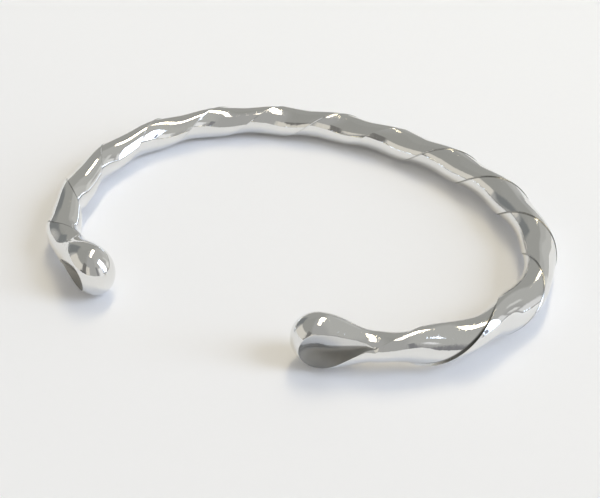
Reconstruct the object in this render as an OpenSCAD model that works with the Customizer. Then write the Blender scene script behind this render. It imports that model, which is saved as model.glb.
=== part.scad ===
// Open cuff bangle: one thick bar bent into an oval loop, with two lips that spiral round it
// and a scooped drop at each tip. Millimetres, +Z up. It rests on its two drops and its far side.

/* [Loop] */
// Length of the bar along its centre line, from tip to tip
bar_length = 149.6; // [142:0.1:158]
// Direction in which the bar leaves its left tip, in degrees from +X
start_heading = 163; // [158:0.5:168]

/* [Bar] */
// Mean radius of the bar
bar_radius = 2; // [1.7:0.05:2.3]
// Height of the swell along each spiral lip
lip_height = 0.28; // [0:0.02:0.4]
// Height of the sharp ledge at a lip's edge
ledge_height = 0.07; // [0:0.01:0.12]
// How quickly the bar falls away behind a lip: 1 is an even slope
lip_fall = 1.8; // [1:0.1:2.5]
// Angle past a lip at which the next lip's swell starts
swell_start = 72; // [60:2:90]
// Angle past a lip at which the next lip's swell reaches its top
swell_end = 176; // [150:2:178]

/* [Spiral] */
// Length of bar for one full turn of the spiral
turn_length = 19.55; // [18:0.05:24]
// Distance from the left tip at which the first lip points straight out
spiral_start = 5.8; // [5:0.1:8]
// Extra turns gained by the middle of the bar
middle_gain = 0.21; // [0:0.01:0.3]
// Turns by which the left half runs behind and the right half runs ahead
half_gain = 0.09; // [0:0.01:0.2]

/* [Drops] */
// Half length of the round end of a drop
drop_end = 3.4; // [3:0.1:3.8]
// Half width of a drop, across its scoop
drop_half_width = 3.65; // [3.2:0.05:3.9]
// Half thickness of a drop, from front to back of its scoop
drop_half_thickness = 2.9; // [2.7:0.05:3.2]
// Size of the left drop, as a share of the right one
left_drop_share = 0.95; // [0.93:0.01:1.05]
// Radius of the neck behind a drop
neck_radius = 1.9; // [1.7:0.05:2.1]
// Distance from a tip to its neck
neck_distance = 10; // [9:0.5:11]
// Length over which a neck grows into the full bar
neck_blend = 8; // [6:0.5:12]
// Depth of a scoop below its rim, as a share of its half width
scoop_depth_share = 0.28; // [0:0.02:0.4]
// Distance from the left tip to the point of its scoop
left_scoop_point = 8.6; // [8:0.1:9.4]
// Distance from the right tip to the point of its scoop
right_scoop_point = 10.2; // [9.6:0.1:11]

/* [Hidden] */

// The loop's bend: share of the bar, degrees of turn in a tenth of the bar
bend_rows = [
    [0.00, 18],
    [0.04, 35],
    [0.09, 57],
    [0.15, 26],
    [0.23, 45],
    [0.35, 30],
    [0.50, 16],
    [0.65, 29],
    [0.77, 50],
    [0.85, 42],
    [0.91, 49],
    [0.96, 15],
    [1.00, -7],
];

// Fullness of the bar: share of the bar, share of the mean radius
fullness_rows = [
    [0.00, 0.98],
    [0.32, 0.98],
    [0.45, 1],
    [0.60, 1.02],
    [0.64, 1.07],
    [0.68, 1.06],
    [0.72, 1],
];

// Heel behind the left scoop: distance from the left tip, height of the heel
heel_rows = [
    [7, 0],
    [10, 0.4],
    [12, 0.65],
    [13.5, 0.55],
    [15.5, 0],
];

// Direction in which the heel stands out, in degrees from straight out towards +Z
heel_facing = -25;

// Strength of both lips: share of the bar, share of the swell's height
lip_rows = [
    [0.76, 1],
    [0.84, 1.9],
    [0.91, 1.9],
    [0.95, 1.2],
];

// Sharpness of the even lip along the bar: share of the bar, share of the ledge's height
even_lip_rows = [
    [0.30, 1],
    [0.38, 0],
    [0.52, 0],
    [0.61, 1],
    [0.72, 1],
    [0.80, 0.6],
    [0.93, 0.2],
];

// Sharpness of the odd lip, which ends in a high ledge near the right drop, in the same columns
odd_lip_rows = [
    [0.78, 1],
    [0.83, 4],
    [0.90, 4],
    [0.95, 1],
];

// Rim of the left scoop: distance from the tip, distance of the rim from the bar's centre line
left_flat_rows = [
    [0, 2.76],
    [3.4, 2.27],
    [5, 2.2],
    [7, 2.13],
    [left_scoop_point, 2.08],
];

// Rim of the right scoop, in the same columns
right_flat_rows = [
    [0, 2.6],
    [1.5, 2.5],
    [2.5, 2.2],
    [3.6, 2],
    [6.5, 1.98],
    [8.2, 1.87],
    [right_scoop_point, 1.9],
];

// Facing of the left scoop: distance from the tip, degrees turned up from the spiral, which it
// joins along the neck
left_facing_rows = [
    [0, 51],
    [3.4, 46],
    [5, 44],
    [7, 40],
    [left_scoop_point, 30],
    [13, 0],
];

// Facing of the right scoop, in the same columns
right_facing_rows = [
    [0, -42],
    [4, -34],
    [5, -29],
    [8, -5],
    [9.2, 3],
    [right_scoop_point, 0],
];

// Places of the section's points: degrees past each lip, with its ledge in the first step
lip_steps = [0, 3, 12, 24, 36, 48, 60, 74, 90, 106, 122, 138, 152, 166];
section_angles = concat(lip_steps, [for (angle = lip_steps) angle + 180]);
section_count = len(section_angles);

// The scoop takes up the points from before_scoop to after_scoop, measured from the even lip
before_scoop = -42;
after_scoop = 48;
// Half angle of the scoop's points where its two rims meet at a point, and past its round end
point_half_angle = 5;
end_half_angle = 30;
// Length of bar over which the section's points close in on the scoop's point
point_gather = 3;
// Distance past a scoop's point, towards the tip, at which the lips die out
lip_start = 3;

// Stations along the bar: close together round each tip, then even
end_count = 14;
station_gap = 0.78;
end_stations = [
    for (i = [0 : end_count - 1])
        drop_end * (1 - cos(4 + 86 * i / end_count))
];
even_count = round((bar_length - 2 * drop_end) / station_gap);
even_stations = [
    for (i = [0 : even_count])
        drop_end + (bar_length - 2 * drop_end) * i / even_count
];
stations = concat(
    end_stations,
    even_stations,
    [for (i = [end_count - 1 : -1 : 0]) bar_length - end_stations[i]]
);
station_count = len(stations);

function smooth_step(share) =
    let (held = min(1, max(0, share)))
    (1 - cos(180 * held)) / 2;

// Wraps an angle to the range from -180 to 180
function wrapped(angle) = angle - 360 * floor((angle + 180) / 360);

// Centre line: each state is x, y and heading at a station
function bend_at(at) = -lookup(at / bar_length, bend_rows) * 10 / bar_length;

function next_state(state, from, to) =
    let (
        gap = to - from,
        heading = state[2] + gap * (bend_at(from) + bend_at(to)) / 2,
        middle = (state[2] + heading) / 2
    )
    [state[0] + gap * cos(middle), state[1] + gap * sin(middle), heading];

centre_line = [
    for (
        i = 0, state = [0, 0, start_heading];
        i < station_count;
        state = next_state(state, stations[i], stations[min(i + 1, station_count - 1)]), i = i + 1
    )
        state
];

// Spiral: the even lip's angle, from straight out towards +Z, falls along the bar
function spiral_turns(at) =
    (at - spiral_start) / turn_length
    + middle_gain * sin(180 * at / bar_length)
    - half_gain * sin(360 * at / bar_length);

function section_turn(at) =
    let (held = min(bar_length - right_scoop_point, max(left_scoop_point, at)))
    -360 * spiral_turns(held)
    + lookup(tip_distance(at), is_left(at) ? left_facing_rows : right_facing_rows);

// Height above the mean radius at an angle past a lip: falls away from the lip, then swells
// up to the next one, whose ledge stands above the place where the next fall starts
function lip_at(past, height, ledge, next_ledge) =
    past < swell_start
        ? height * (pow(1 - past / swell_start, lip_fall) - 0.5)
            + ledge * max(0, 1 - past / lip_steps[1])
        : (height + next_ledge) * smooth_step((past - swell_start) / (swell_end - swell_start))
            - height / 2;

// The angle past the even lip runs from 0 to 360, and the odd lip lies at 180
function lip_height_at(at, past) =
    let (
        height = lip_height * lookup(at / bar_length, lip_rows),
        even_ledge = ledge_height * lookup(at / bar_length, even_lip_rows),
        odd_ledge = ledge_height * lookup(at / bar_length, odd_lip_rows)
    )
    past < 180
        ? lip_at(past, height, even_ledge, odd_ledge)
        : lip_at(past - 180, height, odd_ledge, even_ledge);

// Half sizes of the plain section, across the scoop and through it
function drop_size(at, half_size) =
    let (
        from_tip = tip_distance(at),
        widest = half_size * (is_left(at) ? left_drop_share : 1),
        full_radius = bar_radius * lookup(at / bar_length, fullness_rows),
        round_end = sqrt(1 - pow(max(0, 1 - from_tip / drop_end), 2)),
        taper = smooth_step((from_tip - drop_end) / (neck_distance - drop_end)),
        growth = smooth_step((from_tip - neck_distance) / neck_blend)
    )
    round_end * (widest + (neck_radius - widest) * taper + (full_radius - neck_radius) * growth);

function oval_radius(across, through, angle) =
    1 / sqrt(pow(cos(angle) / through, 2) + pow(sin(angle) / across, 2));

function tip_distance(at) = min(at, bar_length - at);
function is_left(at) = at < bar_length / 2;
function scoop_point(at) = is_left(at) ? left_scoop_point : right_scoop_point;
function flat_at(at) =
    is_left(at) ? lookup(at, left_flat_rows) : lookup(bar_length - at, right_flat_rows);

// Half angle between the scoop's rims, and 0 where there is no scoop
function rim_half_angle(at) =
    let (
        across = drop_size(at, drop_half_width),
        through = drop_size(at, drop_half_thickness),
        flat = flat_at(at),
        cut = tip_distance(at) < scoop_point(at) && flat < through
    )
    cut ? atan2(across * sqrt(1 - pow(flat / through, 2)), flat) : 0;

// Moves the section's points so that two of them lie on the scoop's rims
function gathered_angle(at, angle) =
    let (
        least = tip_distance(at) < drop_end ? end_half_angle : point_half_angle,
        half = max(least, rim_half_angle(at)),
        open = smooth_step((tip_distance(at) - scoop_point(at)) / point_gather),
        low = -half + (before_scoop + half) * open,
        high = half + (after_scoop - half) * open
    )
    angle < before_scoop
        ? -180 + (angle + 180) * (low + 180) / (before_scoop + 180)
        : angle <= after_scoop
            ? low + (angle - before_scoop) * (high - low) / (after_scoop - before_scoop)
            : high + (angle - after_scoop) * (180 - high) / (180 - after_scoop);

function section_radius(at, angle) =
    let (
        plain = oval_radius(
            drop_size(at, drop_half_width), drop_size(at, drop_half_thickness), angle
        ),
        heel = lookup(at, heel_rows) * pow(max(0, cos(section_turn(at) + angle - heel_facing)), 2),
        lip_share = smooth_step((tip_distance(at) - scoop_point(at) + lip_start) / neck_blend),
        lipped = plain + heel + lip_share * lip_height_at(at, angle < 0 ? angle + 360 : angle),
        half = rim_half_angle(at),
        flat = flat_at(at),
        dish = scoop_depth_share * flat * tan(half) * (1 - pow(angle / max(half, 1), 2))
    )
    abs(angle) < half ? min(lipped, flat / cos(angle) - dish) : lipped;

function section_points(i) =
    let (
        at = stations[i],
        heading = centre_line[i][2],
        outward = [-sin(heading), cos(heading), 0],
        turn = section_turn(at)
    )
    [
        for (angle = section_angles)
            let (
                gathered = gathered_angle(at, wrapped(angle)),
                radius = section_radius(at, gathered),
                round_bar = turn + gathered
            )
            [centre_line[i][0], centre_line[i][1], 0]
            + radius * (cos(round_bar) * outward + sin(round_bar) * [0, 0, 1])
    ];

flat_points = [for (i = [0 : station_count - 1]) each section_points(i)];

// Rest: the drops are thicker than the bar, so the loop leans until the far side touches too
function lowest(points, from, to) =
    let (
        near = [
            for (i = [0 : station_count - 1])
                if (stations[i] >= from && stations[i] <= to)
                    for (j = [0 : section_count - 1]) points[i * section_count + j]
        ],
        bottom = min([for (point = near) point[2]])
    )
    [for (point = near) if (point[2] == bottom) point][0];

function leaned(point, side_lean, back_lean) =
    let (
        y = point[1] * cos(back_lean) + point[2] * sin(back_lean),
        z = point[2] * cos(back_lean) - point[1] * sin(back_lean)
    )
    [
        point[0] * cos(side_lean) + z * sin(side_lean),
        y,
        z * cos(side_lean) - point[0] * sin(side_lean)
    ];

// Leans the loop so that its feet, the lowest points of both drops and of the far side, are level
function settled(points) =
    let (
        left_foot = lowest(points, 0, neck_distance),
        across = lowest(points, bar_length - neck_distance, bar_length) - left_foot,
        back = lowest(points, bar_length / 3, bar_length * 2 / 3) - left_foot,
        area = across[0] * back[1] - back[0] * across[1],
        side_lean = atan((across[2] * back[1] - back[2] * across[1]) / area),
        back_lean = atan((across[0] * back[2] - back[0] * across[2]) / area)
    )
    [for (point = points) leaned(point, side_lean, back_lean)];

// As the loop leans, other points become its feet, so it settles in three steps
leaned_points = settled(settled(settled(flat_points)));
low_corner = [for (axis = [0 : 2]) min([for (point = leaned_points) point[axis]])];
high_corner = [for (axis = [0 : 2]) max([for (point = leaned_points) point[axis]])];
base_centre = [
    (low_corner[0] + high_corner[0]) / 2,
    (low_corner[1] + high_corner[1]) / 2,
    low_corner[2]
];
bangle_points = [for (point = leaned_points) point - base_centre];

bangle_faces = concat(
    [[for (j = [0 : section_count - 1]) j]],
    [
        for (i = [0 : station_count - 2])
            for (j = [0 : section_count - 1])
                let (
                    next = (j + 1) % section_count,
                    here = i * section_count,
                    ahead = here + section_count
                )
                each [
                    [here + j, ahead + next, here + next],
                    [here + j, ahead + j, ahead + next]
                ]
    ],
    [[for (j = [section_count - 1 : -1 : 0]) (station_count - 1) * section_count + j]]
);

module bangle() {
    color("silver")
        polyhedron(points = bangle_points, faces = bangle_faces, convexity = 8);
}

bangle();
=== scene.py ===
import math

import bpy
import numpy as np
from mathutils import Matrix, Vector


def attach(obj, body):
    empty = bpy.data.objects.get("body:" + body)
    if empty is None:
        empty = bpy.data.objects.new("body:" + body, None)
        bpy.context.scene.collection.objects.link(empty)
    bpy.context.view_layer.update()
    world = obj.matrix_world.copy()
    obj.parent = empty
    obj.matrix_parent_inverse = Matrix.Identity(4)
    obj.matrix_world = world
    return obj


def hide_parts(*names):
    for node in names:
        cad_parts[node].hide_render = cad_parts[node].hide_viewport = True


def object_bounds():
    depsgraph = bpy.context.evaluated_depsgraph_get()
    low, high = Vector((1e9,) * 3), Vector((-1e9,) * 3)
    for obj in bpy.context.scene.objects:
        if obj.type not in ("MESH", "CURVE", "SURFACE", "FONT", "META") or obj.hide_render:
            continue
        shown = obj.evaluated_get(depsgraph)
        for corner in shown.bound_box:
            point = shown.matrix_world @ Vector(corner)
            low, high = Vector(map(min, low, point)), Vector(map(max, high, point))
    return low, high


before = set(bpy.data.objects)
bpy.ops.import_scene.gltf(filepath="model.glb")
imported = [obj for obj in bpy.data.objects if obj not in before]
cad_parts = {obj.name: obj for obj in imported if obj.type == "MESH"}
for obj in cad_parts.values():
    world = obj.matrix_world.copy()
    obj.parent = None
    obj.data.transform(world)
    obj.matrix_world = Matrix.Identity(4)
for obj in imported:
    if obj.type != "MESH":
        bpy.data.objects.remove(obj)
cad_low, cad_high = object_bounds()

MM = 0.001

# Loop: length of the bar, the heading in which it leaves its left tip, and how many short
# steps add up to its centre line
BAR_LENGTH = 149.6
START_HEADING = 163
CENTRE_STEPS = 12000

# Bar and lips
BAR_RADIUS = 2
LIP_HEIGHT = 0.28
LEDGE_HEIGHT = 0.07
LEDGE_ANGLE = 3
LIP_FALL = 1.8
SWELL_START = 72
SWELL_END = 176

# Spiral
TURN_LENGTH = 19.55
SPIRAL_START = 5.8
MIDDLE_GAIN = 0.21
HALF_GAIN = 0.09

# Drops
DROP_END = 3.4
DROP_HALF_WIDTH = 3.65
DROP_HALF_THICKNESS = 2.9
LEFT_DROP_SHARE = 0.95
NECK_RADIUS = 1.9
NECK_DISTANCE = 10
NECK_BLEND = 8
SCOOP_DEPTH_SHARE = 0.28
LEFT_SCOOP_POINT = 8.6
RIGHT_SCOOP_POINT = 10.2

# Bend: share of the bar, degrees of turn in a tenth of the bar
BEND_ROWS = [
    (0.00, 18),
    (0.04, 35),
    (0.09, 57),
    (0.15, 26),
    (0.23, 45),
    (0.35, 30),
    (0.50, 16),
    (0.65, 29),
    (0.77, 50),
    (0.85, 42),
    (0.91, 49),
    (0.96, 15),
    (1.00, -7),
]

# Fullness of the bar: share of the bar, share of the mean radius
FULLNESS_ROWS = [
    (0.00, 0.98),
    (0.32, 0.98),
    (0.45, 1),
    (0.60, 1.02),
    (0.64, 1.07),
    (0.68, 1.06),
    (0.72, 1),
]

# Heel behind the left scoop: distance from the left tip, height, and the way that it faces
HEEL_ROWS = [(7, 0), (10, 0.4), (12, 0.65), (13.5, 0.55), (15.5, 0)]
HEEL_FACING = -25

# Strength of both lips: share of the bar, share of the swell's height
LIP_ROWS = [(0.76, 1), (0.84, 1.9), (0.91, 1.9), (0.95, 1.2)]

# Sharpness of the even lip: share of the bar, share of the ledge's height
EVEN_LIP_ROWS = [(0.30, 1), (0.38, 0), (0.52, 0), (0.61, 1), (0.72, 1), (0.80, 0.6), (0.93, 0.2)]

# Sharpness of the odd lip, which ends in a high ledge near the right drop
ODD_LIP_ROWS = [(0.78, 1), (0.83, 4), (0.90, 4), (0.95, 1)]

# Painted shade with tarnish in the grooves under the lips: share of the bar, how dark it is
GROOVE_SHADE_AND_TARNISH_ROWS = [
    (0.03, 0),
    (0.06, 0.9),
    (0.13, 0.8),
    (0.18, 0.1),
    (0.50, 0.1),
    (0.58, 0.7),
    (0.80, 0.8),
    (0.86, 1),
    (0.88, 0.8),
    (0.90, 0),
]
# Angle past a lip over which the painted groove shade and tarnish stay full; they fade out by
# twice this angle
GROOVE_SHADE_AND_TARNISH_ANGLE = 4

# Painted dark reflection on the floor of each scoop: the share of its half width at which the
# floor starts under the upper rim, how far the painted reflection takes to grow dark, how dark it
# is at its edge and in its middle, and how dark the bevel above it is painted
LEFT_FLOOR_START, RIGHT_FLOOR_START = 1, 0.5
FLOOR_BLEND = 0.2
FLOOR_EDGE, FLOOR_MIDDLE, BEVEL = 0.7, 1, 0.22

# Rims of the scoops: distance from the tip, distance of the rim from the centre line
LEFT_FLAT_ROWS = [(0, 2.76), (3.4, 2.27), (5, 2.2), (7, 2.13), (LEFT_SCOOP_POINT, 2.08)]
RIGHT_FLAT_ROWS = [
    (0, 2.6),
    (1.5, 2.5),
    (2.5, 2.2),
    (3.6, 2),
    (6.5, 1.98),
    (8.2, 1.87),
    (RIGHT_SCOOP_POINT, 1.9),
]

# Facing of the scoops: distance from the tip, degrees turned up from the lip at the point
LEFT_FACING_ROWS = [(0, 51), (3.4, 46), (5, 44), (7, 40), (LEFT_SCOOP_POINT, 30), (13, 0)]
RIGHT_FACING_ROWS = [(0, -42), (4, -34), (5, -29), (8, -5), (9.2, 3), (RIGHT_SCOOP_POINT, 0)]

# The scoop takes up the section's points between these angles from the even lip
BEFORE_SCOOP = -42
AFTER_SCOOP = 48
POINT_HALF_ANGLE = 4
POINT_GATHER = 3
LIP_START = 3

# Half angle between the rims under which a section has no scoop, half angle in which its flat
# can lie, and a distance that no flat limits
LEAST_HALF_ANGLE = 0.01
FLAT_HALF_ANGLE = 80
NO_FLAT = 1e3

# How finely the bar is drawn, and how far its rims are rounded over: fully from a half angle
# of 25 degrees on, and hardly at all at the scoop's point
STATION_GAP = 0.2
END_STATIONS = 48
FIRST_END_TURN = 1.5
RIM_ROUNDING = 0.05
ROUNDING_GROWTH = 0.04
LEAST_ROUNDING = 1e-4


def smooth_step(share):
    held = np.clip(share, 0, 1)
    return (1 - np.cos(math.pi * held)) / 2


def look_up(at, rows):
    places, values = zip(*rows)
    return np.interp(at, places, values)


def cosine(angle):
    return np.cos(np.radians(angle))


def sine(angle):
    return np.sin(np.radians(angle))


def wrapped(angle):
    return angle - 360 * np.floor((angle + 180) / 360)


def bar_stations():
    """Distances along the bar, close together round each tip."""
    turn = np.linspace(FIRST_END_TURN, 90, END_STATIONS, endpoint=False)
    end = DROP_END * (1 - cosine(turn))
    count = round((BAR_LENGTH - 2 * DROP_END) / STATION_GAP)
    middle = np.linspace(DROP_END, BAR_LENGTH - DROP_END, count + 1)
    return np.concatenate([end, middle, BAR_LENGTH - end[::-1]])


def section_steps():
    """Angles past the even lip, close together where a lip rises and at the scoop's rims."""
    ledge = [0, 0.5, 1, 1.5, 2, 2.5, 3, 3.7, 5, 7, 10, 14, 19, 24, 29, 34, 39, 43, 46, 47.3, 48]
    slope = [48.7, 50, 53, 58, 64, 70, 77, 84, 91, 98, 105, 110, 114, 118, 122, 126, 130, 134]
    swell = [136, 137.3, 138, 138.7, 140, 143, 147, 151, 155, 159, 163, 167, 171, 175, 178, 179.5]
    half = np.array(ledge + slope + swell, float)
    return np.concatenate([half, half + 180])


def centre_line(stations):
    """Places and headings of the bar's centre line at its stations."""
    fine = np.linspace(0, BAR_LENGTH, CENTRE_STEPS + 1)
    gap = fine[1]
    bend = -look_up(fine / BAR_LENGTH, BEND_ROWS) * 10 / BAR_LENGTH
    turned = np.concatenate([[0], np.cumsum((bend[1:] + bend[:-1]) / 2 * gap)])
    heading = START_HEADING + turned
    middle = (heading[1:] + heading[:-1]) / 2
    x = np.concatenate([[0], np.cumsum(gap * cosine(middle))])
    y = np.concatenate([[0], np.cumsum(gap * sine(middle))])
    return [np.interp(stations, fine, values) for values in (x, y, heading)]


def is_left(at):
    return at < BAR_LENGTH / 2


def tip_distance(at):
    return np.minimum(at, BAR_LENGTH - at)


def by_end(at, left, right):
    return np.where(is_left(at), left, right)


def scoop_point(at):
    return by_end(at, LEFT_SCOOP_POINT, RIGHT_SCOOP_POINT)


def flat_at(at):
    tip = tip_distance(at)
    return by_end(at, look_up(tip, LEFT_FLAT_ROWS), look_up(tip, RIGHT_FLAT_ROWS))


def section_turn(at):
    """Angle of the even lip, from straight out towards +Z."""
    held = np.clip(at, LEFT_SCOOP_POINT, BAR_LENGTH - RIGHT_SCOOP_POINT)
    turns = (
        (held - SPIRAL_START) / TURN_LENGTH
        + MIDDLE_GAIN * sine(180 * held / BAR_LENGTH)
        - HALF_GAIN * sine(360 * held / BAR_LENGTH)
    )
    tip = tip_distance(at)
    facing = by_end(at, look_up(tip, LEFT_FACING_ROWS), look_up(tip, RIGHT_FACING_ROWS))
    return -360 * turns + facing


def lip_at(past, height, ledge, next_ledge):
    """Height at an angle past a lip: falls away, then swells up to the next lip's ledge."""
    fall = height * (np.maximum(0, 1 - past / SWELL_START) ** LIP_FALL - 0.5)
    edge = ledge * (1 - smooth_step(past / LEDGE_ANGLE))
    climb = smooth_step((past - SWELL_START) / (SWELL_END - SWELL_START))
    swell = (height + next_ledge) * climb - height / 2
    return np.where(past < SWELL_START, fall + edge, swell)


def lip_height_at(at, past):
    height = LIP_HEIGHT * look_up(at / BAR_LENGTH, LIP_ROWS)
    even_ledge = LEDGE_HEIGHT * look_up(at / BAR_LENGTH, EVEN_LIP_ROWS)
    odd_ledge = LEDGE_HEIGHT * look_up(at / BAR_LENGTH, ODD_LIP_ROWS)
    after_even = lip_at(past, height, even_ledge, odd_ledge)
    after_odd = lip_at(past - 180, height, odd_ledge, even_ledge)
    return np.where(past < 180, after_even, after_odd)


def drop_size(at, widest):
    """Half size of the plain section: round end, taper to the neck, growth to the bar."""
    widest = widest * by_end(at, LEFT_DROP_SHARE, 1)
    tip = tip_distance(at)
    full_radius = BAR_RADIUS * look_up(at / BAR_LENGTH, FULLNESS_ROWS)
    round_end = np.sqrt(1 - np.maximum(0, 1 - tip / DROP_END) ** 2)
    taper = smooth_step((tip - DROP_END) / (NECK_DISTANCE - DROP_END))
    growth = smooth_step((tip - NECK_DISTANCE) / NECK_BLEND)
    size = widest + (NECK_RADIUS - widest) * taper + (full_radius - NECK_RADIUS) * growth
    return round_end * size


def has_scoop(half):
    return half > LEAST_HALF_ANGLE


def rim_half_angle(at):
    """Half angle between the scoop's rims, and 0 where there is no scoop."""
    across = drop_size(at, DROP_HALF_WIDTH)
    through = drop_size(at, DROP_HALF_THICKNESS)
    flat = flat_at(at)
    share = np.minimum(1, flat / np.maximum(through, 1e-6))
    before_point = tip_distance(at) < scoop_point(at)
    side = np.where(before_point, across * np.sqrt(1 - share**2), 0)
    return np.degrees(np.arctan2(side, flat))


def gathered_angle(at, angle):
    """Moves the section's points so that two of them lie on the scoop's rims."""
    half = np.maximum(POINT_HALF_ANGLE, rim_half_angle(at))
    open_share = smooth_step((tip_distance(at) - scoop_point(at)) / POINT_GATHER)
    low = -half + (BEFORE_SCOOP + half) * open_share
    high = half + (AFTER_SCOOP - half) * open_share
    below = -180 + (angle + 180) * (low + 180) / (BEFORE_SCOOP + 180)
    within = low + (angle - BEFORE_SCOOP) * (high - low) / (AFTER_SCOOP - BEFORE_SCOOP)
    above = high + (angle - AFTER_SCOOP) * (180 - high) / (180 - AFTER_SCOOP)
    return np.where(angle < BEFORE_SCOOP, below, np.where(angle <= AFTER_SCOOP, within, above))


def soft_least(first, second, rounding):
    """The smaller of two sizes, with the corner between them rounded over."""
    gap = np.clip(0.5 + (second - first) / (2 * rounding), 0, 1)
    return second + (first - second) * gap - rounding * gap * (1 - gap)


def section_radius(at, angle):
    across = drop_size(at, DROP_HALF_WIDTH)
    through = drop_size(at, DROP_HALF_THICKNESS)
    plain = 1 / np.sqrt((cosine(angle) / through) ** 2 + (sine(angle) / across) ** 2)
    past = np.where(angle < 0, angle + 360, angle)
    lip_share = smooth_step((tip_distance(at) - scoop_point(at) + LIP_START) / NECK_BLEND)
    outward = np.maximum(0, cosine(section_turn(at) + angle - HEEL_FACING))
    heel = look_up(at, HEEL_ROWS) * outward**2
    lipped = plain + heel + lip_share * lip_height_at(at, past)
    half = rim_half_angle(at)
    inside = np.maximum(0, 1 - (angle / np.where(has_scoop(half), half, 1)) ** 2)
    flat = flat_at(at)
    dish = SCOOP_DEPTH_SHARE * flat * np.tan(np.radians(half)) * inside
    facing = np.abs(angle) < FLAT_HALF_ANGLE
    cut = np.where(facing, flat / cosine(np.where(facing, angle, 0)) - dish, NO_FLAT)
    grown = ROUNDING_GROWTH * half * RIM_ROUNDING + LEAST_ROUNDING
    rounding = np.minimum(RIM_ROUNDING, grown)
    return np.where(has_scoop(half), soft_least(lipped, cut, rounding), lipped)


def bar_points():
    """The bar's points, in rows of stations and columns of section angles, lying flat."""
    stations = bar_stations()
    at = stations[:, None]
    x, y, heading = (values[:, None] for values in centre_line(stations))
    angle = gathered_angle(at, wrapped(section_steps())[None, :])
    radius = section_radius(at, angle)
    round_bar = section_turn(at) + angle
    out = radius * cosine(round_bar)
    return np.stack(
        [x - out * sine(heading), y + out * cosine(heading), radius * sine(round_bar)], axis=-1
    )


def tip_points():
    x, y, _ = centre_line(np.array([0.0, BAR_LENGTH]))
    return np.stack([x, y, np.zeros(2)], axis=-1)


def lowest(points):
    flat = points.reshape(-1, 3)
    return flat[flat[:, 2].argmin()]


def leaned(points, side_lean, back_lean):
    y = points[..., 1] * math.cos(back_lean) + points[..., 2] * math.sin(back_lean)
    z = points[..., 2] * math.cos(back_lean) - points[..., 1] * math.sin(back_lean)
    x = points[..., 0] * math.cos(side_lean) + z * math.sin(side_lean)
    z = z * math.cos(side_lean) - points[..., 0] * math.sin(side_lean)
    return np.stack([x, y, z], axis=-1)


def settled(rows, others):
    """Leans the loop, and other points with it, until both drops and its far side are level."""
    stations = bar_stations()
    third = BAR_LENGTH / 3
    for _ in range(3):
        left = lowest(rows[stations <= NECK_DISTANCE])
        across = lowest(rows[stations >= BAR_LENGTH - NECK_DISTANCE]) - left
        back = lowest(rows[(stations >= third) & (stations <= 2 * third)]) - left
        area = across[0] * back[1] - back[0] * across[1]
        side_lean = math.atan((across[2] * back[1] - back[2] * across[1]) / area)
        back_lean = math.atan((across[0] * back[2] - back[0] * across[2]) / area)
        rows, others = (leaned(points, side_lean, back_lean) for points in (rows, others))
    return rows, others


def fitted(points):
    """Sets the points in the box of the solid that they stand for."""
    low, high = points.min(0), points.max(0)
    box_low, box_high = np.array(cad_low), np.array(cad_high)
    return box_low + (points - low) / (high - low) * (box_high - box_low)


def groove_shade_and_tarnish_amount():
    """Painted groove shade with tarnish: 1 in the darkest part of the groove under a lip, for
    every point of the bar.
    """
    at = bar_stations()[:, None]
    past = section_steps()[None, :] % 180
    odd_lip = section_steps()[None, :] >= 180
    even_share = np.minimum(1, look_up(at / BAR_LENGTH, EVEN_LIP_ROWS))
    near = 1 - smooth_step((past - GROOVE_SHADE_AND_TARNISH_ANGLE) / GROOVE_SHADE_AND_TARNISH_ANGLE)
    return near * look_up(at / BAR_LENGTH, GROOVE_SHADE_AND_TARNISH_ROWS) * np.where(odd_lip, 1, even_share)


def painted_scoop_reflection_amount():
    """Painted dark reflection: 1 in the middle of a scoop's floor, less on its bright bevel, and
    0 outside it.
    """
    at = bar_stations()[:, None]
    half = rim_half_angle(at)
    inside = gathered_angle(at, wrapped(section_steps())[None, :]) / np.maximum(half, 1)
    start = by_end(at, LEFT_FLOOR_START, RIGHT_FLOOR_START)
    in_scoop = (np.abs(inside) < 1.001) & has_scoop(half)
    floor = smooth_step((start - inside) / FLOOR_BLEND)
    along = np.clip(tip_distance(at) / scoop_point(at), 0, 1)
    middle = np.maximum(0, 1 - (2 * along - 1) ** 2)
    painted_floor_reflection = floor * (FLOOR_EDGE + (FLOOR_MIDDLE - FLOOR_EDGE) * middle)
    return in_scoop * np.maximum(BEVEL, painted_floor_reflection)


def bangle_mesh():
    rows, tips = settled(bar_points(), tip_points())
    station_count, section_count = rows.shape[:2]
    points = np.concatenate([rows.reshape(-1, 3), tips])
    points = fitted(points * MM)
    here = np.arange(section_count)
    following = (here + 1) % section_count
    near = np.arange(station_count - 1)[:, None] * section_count
    far = near + section_count
    quads = np.stack([near + here, near + following, far + following, far + here], axis=-1)
    first_tip = station_count * section_count
    last_row = (station_count - 1) * section_count
    first_fan = [(first_tip, b, a) for a, b in zip(here.tolist(), following.tolist())]
    last_fan = [
        (first_tip + 1, last_row + a, last_row + b)
        for a, b in zip(here.tolist(), following.tolist())
    ]
    mesh = bpy.data.meshes.new("polished_bar")
    faces = quads.reshape(-1, 4).tolist() + first_fan + last_fan
    mesh.from_pydata(points.tolist(), [], faces)
    mesh.polygons.foreach_set("use_smooth", [True] * len(faces))
    mesh.update()
    # The points carry the painted groove shade with tarnish, and the painted dark reflection of
    # the scoops
    for name, amounts in (("groove_shade_and_tarnish", groove_shade_and_tarnish_amount()), ("painted_scoop_reflection", painted_scoop_reflection_amount())):
        values = np.concatenate([amounts.reshape(-1), np.zeros(2)])
        mesh.attributes.new(name, "FLOAT", "POINT").data.foreach_set("value", values)
    return mesh


# Light of the room where no card stands
ROOM = (0.42, 0.42, 0.41, 1)

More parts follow.
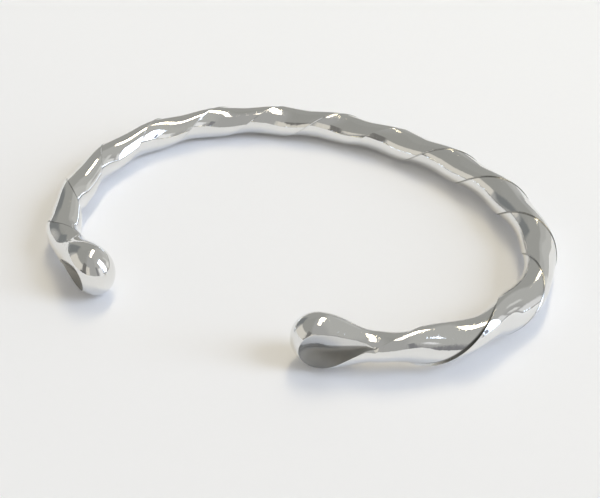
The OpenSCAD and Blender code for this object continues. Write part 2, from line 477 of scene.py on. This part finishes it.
# Cards of the room: azimuth clockwise from +Y, elevation, half width, half height, softness (all
# in degrees), colour of the light
ROOM_CARDS = [
    (50, 52, 60, 28, 10, (0.485, 0.485, 0.465)),
    (-95, 50, 52, 26, 8, (0.355, 0.355, 0.335)),
    (-40, 25, 22, 26, 4, (0.375, 0.375, 0.355)),
    (-74, 14, 14, 16, 4, (0.22, 0.23, 0.23)),
    (-124, 10, 28, 20, 3, (0.74, 0.71, 0.645)),
    (180, 12, 9, 20, 3, (0.74, 0.71, 0.645)),
    (-164, 18, 8, 21, 2, (0.20, 0.195, 0.185)),
    (-160, 0, 13, 6, 2, (0.16, 0.155, 0.15)),
    (128, 16, 4, 20, 2, (0.24, 0.24, 0.25)),
    (12, 10, 18, 14, 3, (0.55, 0.55, 0.53)),
    (40, 5, 12, 9, 2, (0.80, 0.80, 0.78)),
    (32, 18, 4, 12, 2, (0.70, 0.70, 0.68)),
    (106, 13, 11, 15, 2, (0.90, 0.90, 0.91)),
    (61, 18, 5, 14, 2, (0.80, 0.80, 0.80)),
    (79, 27, 13, 24, 2, (5.0, 5.75, 7.0)),
    (88, 17, 4, 13, 2, (0.34, 0.36, 0.42)),
    (-15, 84, 4, 15, 1.5, (3.6, 3.3, 2.8)),
    (-12, 61, 4, 13, 1.5, (12.8, 11.4, 8.2)),
]


class Wire:
    """A shader value that takes part in plain sums: each sum adds its Math node."""

    def __init__(self, bench, socket):
        self.bench = bench
        self.socket = socket

    def sum(self, operation, *values):
        return self.bench.node("ShaderNodeMath", {"operation": operation}, list(values))

    def __add__(self, other):
        return self.sum("ADD", self, other)

    def __radd__(self, other):
        return self.sum("ADD", other, self)

    def __sub__(self, other):
        return self.sum("SUBTRACT", self, other)

    def __rsub__(self, other):
        return self.sum("SUBTRACT", other, self)

    def __mul__(self, other):
        return self.sum("MULTIPLY", self, other)

    def __rmul__(self, other):
        return self.sum("MULTIPLY", other, self)

    def __truediv__(self, other):
        return self.sum("DIVIDE", self, other)

    def __rtruediv__(self, other):
        return self.sum("DIVIDE", other, self)


class Bench:
    """The node tree of one material or of the surroundings."""

    def __init__(self, owner):
        owner.use_nodes = True
        self.tree = owner.node_tree
        self.tree.nodes.clear()

    def node(self, kind, settings=None, inputs=None, output=0):
        """Adds a node; settings are set first, then the values or wires of its sockets."""
        made = self.tree.nodes.new(kind)
        for name, value in (settings or {}).items():
            setattr(made, name, value)
        pairs = enumerate(inputs) if isinstance(inputs, list) else (inputs or {}).items()
        for key, value in pairs:
            if isinstance(value, Wire):
                self.tree.links.new(value.socket, made.inputs[key])
            elif value is not None:
                made.inputs[key].default_value = value
        return Wire(self, made.outputs[output]) if len(made.outputs) else made

    def vector(self, operation, *values, output=0):
        return self.node("ShaderNodeVectorMath", {"operation": operation}, list(values), output)

    def mix(self, share, first, second):
        """A colour between two colours."""
        return self.node(
            "ShaderNodeMix", {"data_type": "RGBA"}, {0: share, 6: first, 7: second}, output=2
        )

    def dot(self, first, second):
        return self.vector("DOT_PRODUCT", first, tuple(float(part) for part in second), output=1)

    def noise(self, place, scale, detail):
        return self.node(
            "ShaderNodeTexNoise", {}, {"Vector": place, "Scale": scale, "Detail": detail}
        )

    def largest(self, first, second):
        return self.node("ShaderNodeMath", {"operation": "MAXIMUM"}, [first, second])

    def hairlines(self, place):
        """Thin, broken scratches in three directions: 1 on a scratch."""
        found = None
        for turn, stretch in SCRATCH_WAYS:
            rotation = (turn, 0.4 * turn, turn)
            turned = self.node(
                "ShaderNodeMapping",
                {},
                {"Vector": place, "Rotation": rotation, "Scale": (stretch, 1, 1)},
            )
            line = self.step(self.noise(turned, SCRATCH_SCALE, 2.0), 0.66, 0.72)
            found = line if found is None else self.largest(found, line)
        return found

    def step(self, value, low, high):
        """0 below low, 1 above high, and smooth between them."""
        settings = {"interpolation_type": "SMOOTHSTEP"}
        return self.node("ShaderNodeMapRange", settings, [value, low, high, 0.0, 1.0])


# Silver, cloudy between two tones, then on its scratches, then with a painted dark reflection in
# the scoops, then with painted shade and tarnish in the grooves
SILVER_TONES = (0.84, 0.835, 0.815, 1), (0.81, 0.81, 0.80, 1)
SCRATCHED_SILVER = (0.72, 0.72, 0.71, 1)
# Painted dark reflection of the scoops
PAINTED_SCOOP_REFLECTION_TONE = (0.24, 0.235, 0.22, 1)
# Painted shade with tarnish in the grooves
GROOVE_SHADE_AND_TARNISH_TONE = (0.10, 0.10, 0.09, 1)

# Roughness of the polish, and what wear, the tarnish in the grooves and the duller floors of the
# scoops add to it
POLISH_ROUGHNESS = 0.025
GRAIN_ROUGHNESS, SCRATCH_ROUGHNESS = 0.02, 0.06
TARNISH_ROUGHNESS, DULL_ROUGHNESS = 0.3, 0.35

# Size of the silver's detail, as repeats in a metre
CLOUD_SCALE, GRAIN_SCALE = 90.0, 2600.0
WAVE_SCALE, RIPPLE_SCALE = 210.0, 1500.0
SCRATCH_SCALE = 240.0

# Scratches: turn in radians, how many times longer than wide they are
SCRATCH_WAYS = [(0.3, 60.0), (1.4, 45.0), (2.5, 52.0)]

# Height of the hand-polished wave and depth of the scratches, in metres
WAVE_HEIGHT, SCRATCH_DEPTH = 0.00004, 0.00001


def polished_silver():
    """Mirror-polished silver with hairline scratches and a faint hand-polished wave, painted
    shade with tarnish in the grooves and a painted dark reflection in the scoops.
    """
    material = bpy.data.materials.new("polished_silver")
    bench = Bench(material)
    place = bench.node("ShaderNodeTexCoord", output=3)
    cloud = bench.noise(place, CLOUD_SCALE, 2.0)
    grain = bench.noise(place, GRAIN_SCALE, 2.0)
    hair = bench.hairlines(place)
    # Painted shade with tarnish in the grooves
    groove_shade_and_tarnish = bench.node("ShaderNodeAttribute", {"attribute_name": "groove_shade_and_tarnish"}, output=2)
    # Painted dark reflection in the scoops
    painted_scoop_reflection = bench.node("ShaderNodeAttribute", {"attribute_name": "painted_scoop_reflection"}, output=2)
    base = bench.mix(bench.step(cloud, 0.35, 0.65), *SILVER_TONES)
    scratched = bench.mix(hair * 0.25, base, SCRATCHED_SILVER)
    # Painted dark reflection darkens the scoops
    with_scoop_reflection = bench.mix(painted_scoop_reflection, scratched, PAINTED_SCOOP_REFLECTION_TONE)
    # Painted shade with tarnish darkens the grooves
    colour = bench.mix(groove_shade_and_tarnish, with_scoop_reflection, GROOVE_SHADE_AND_TARNISH_TONE)
    worn = bench.step(grain, 0.4, 0.75) * GRAIN_ROUGHNESS + hair * SCRATCH_ROUGHNESS
    roughness = POLISH_ROUGHNESS + worn + groove_shade_and_tarnish * TARNISH_ROUGHNESS + painted_scoop_reflection * DULL_ROUGHNESS
    wave = bench.noise(place, WAVE_SCALE, 1.0) + bench.noise(place, RIPPLE_SCALE, 2.0) * 0.5
    shape = bench.node(
        "ShaderNodeBump", {}, {"Strength": 0.35, "Distance": WAVE_HEIGHT, "Height": wave}
    )
    fine = bench.node(
        "ShaderNodeBump",
        {"invert": True},
        {"Strength": 0.10, "Distance": SCRATCH_DEPTH, "Height": hair, "Normal": shape},
    )
    shader = bench.node(
        "ShaderNodeBsdfPrincipled",
        {},
        {"Base Color": colour, "Metallic": 1.0, "Roughness": roughness, "Normal": fine},
    )
    bench.node("ShaderNodeOutputMaterial", {}, {"Surface": shader})
    return material


# Card: way in which painted light makes it paler, its painted light tones from the front left to
# the far right, its tooth
PAINTED_LIGHT_WAY = (0.26, 0.95, 0)
PAINTED_LIGHT_TONES = (0.912, 0.906, 0.918, 1), (0.985, 0.980, 0.985, 1)
TOOTH_TONE = (0.87, 0.865, 0.87, 1)
TOOTH_SCALE, CARD_CLOUD_SCALE = 900.0, 14.0
TOOTH_HEIGHT = 0.00005

# How far the card lies under the bangle, in metres, so that the two never share a face
CARD_DROP = 0.00002


def pale_card():
    """Smooth pale card with a faint tooth, and painted light that makes it a little paler towards
    its far right.
    """
    material = bpy.data.materials.new("pale_card")
    bench = Bench(material)
    place = bench.node("ShaderNodeTexCoord", output=3)
    tooth = bench.noise(place, TOOTH_SCALE, 3.0)
    cloud = bench.noise(place, CARD_CLOUD_SCALE, 1.0)
    # Painted light: the card grows paler towards its far right
    painted_light_share = bench.dot(place, PAINTED_LIGHT_WAY) + cloud * 0.02
    painted_light_tint = bench.mix(bench.step(painted_light_share, -0.04, 0.10), *PAINTED_LIGHT_TONES)
    colour = bench.mix(bench.step(tooth, 0.3, 0.8) * 0.06, painted_light_tint, TOOTH_TONE)
    bump = bench.node(
        "ShaderNodeBump", {}, {"Strength": 0.05, "Distance": TOOTH_HEIGHT, "Height": tooth}
    )
    shader = bench.node(
        "ShaderNodeBsdfPrincipled",
        {},
        {"Base Color": colour, "Roughness": 0.75, "Specular IOR Level": 0.2, "Normal": bump},
    )
    bench.node("ShaderNodeOutputMaterial", {}, {"Surface": shader})
    return material


def floor_plane(half=0.6):
    mesh = bpy.data.meshes.new("card")
    corners = [(-half, -half, 0), (half, -half, 0), (half, half, 0), (-half, half, 0)]
    mesh.from_pydata(corners, [], [(0, 1, 2, 3)])
    floor = bpy.data.objects.new("pale_floor", mesh)
    bpy.context.scene.collection.objects.link(floor)
    floor.location.z = -CARD_DROP
    mesh.materials.append(pale_card())
    return floor


def card_mask(bench, way, azimuth, elevation, half_width, half_height, softness):
    """1 where a direction falls on a soft card that stands round the bangle."""
    east, north = sine(azimuth), cosine(azimuth)
    rise, level = sine(elevation), cosine(elevation)
    ahead = bench.dot(way, (east * level, north * level, rise))
    aside = bench.dot(way, (north, -east, 0))
    above = bench.dot(way, (-east * rise, -north * rise, level))
    in_front = bench.largest(ahead, 0.02)
    shares = []
    for offset, half in ((aside, half_width), (above, half_height)):
        slope = bench.node("ShaderNodeMath", {"operation": "ABSOLUTE"}, [offset / in_front])
        inner = math.tan(math.radians(max(half - softness, 0.1)))
        outer = math.tan(math.radians(half + softness))
        shares.append(1.0 - bench.step(slope, inner, outer))
    return shares[0] * shares[1]


def studio_surroundings():
    """A dim room with pale walls, lit by a cool window on the right and a warm lamp behind."""
    world = bpy.data.worlds.new("studio")
    bpy.context.scene.world = world
    bench = Bench(world)
    way = bench.node("ShaderNodeTexCoord", output=0)
    light = ROOM
    for *card, colour in ROOM_CARDS:
        light = bench.mix(card_mask(bench, way, *card), light, (*colour, 1))
    background = bench.node("ShaderNodeBackground", {}, {"Color": light, "Strength": 1.0})
    bench.node("ShaderNodeOutputWorld", {}, {"Surface": background})


# Camera: its place in millimetres, the ways in which it looks and in which its right side
# lies, and how far off its picture plane is, in widths of the picture
CAMERA_PLACE = (74.48, -131.12, 114.81)
CAMERA_FORWARD = (-0.3952, 0.6849, -0.6122)
CAMERA_RIGHT = (0.8770, 0.4795, -0.0296)
PICTURE_DISTANCE = 1443.94 / 600
SENSOR_WIDTH = 36


def photo_camera():
    """The camera stands where the photographer's stood, worked out from the bangle's outline."""
    data = bpy.data.cameras.new("photo_camera")
    camera = bpy.data.objects.new("photo_camera", data)
    bpy.context.scene.collection.objects.link(camera)
    forward = Vector(CAMERA_FORWARD).normalized()
    right = Vector(CAMERA_RIGHT)
    right = (right - forward * right.dot(forward)).normalized()
    up = right.cross(forward)
    turn = Matrix((right, up, -forward)).transposed().to_4x4()
    camera.matrix_world = Matrix.Translation(Vector(CAMERA_PLACE) * MM) @ turn
    data.sensor_width = SENSOR_WIDTH
    data.lens = SENSOR_WIDTH * PICTURE_DISTANCE
    data.clip_start, data.clip_end = 0.01, 20
    bpy.context.scene.camera = camera


bangle = bpy.data.objects.new("bangle_polished", bangle_mesh())
bpy.context.scene.collection.objects.link(bangle)
bangle.data.materials.append(polished_silver())
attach(bangle, "root")
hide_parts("bangle")
floor_plane()
studio_surroundings()
photo_camera()
bpy.context.scene.view_settings.view_transform = "Standard"
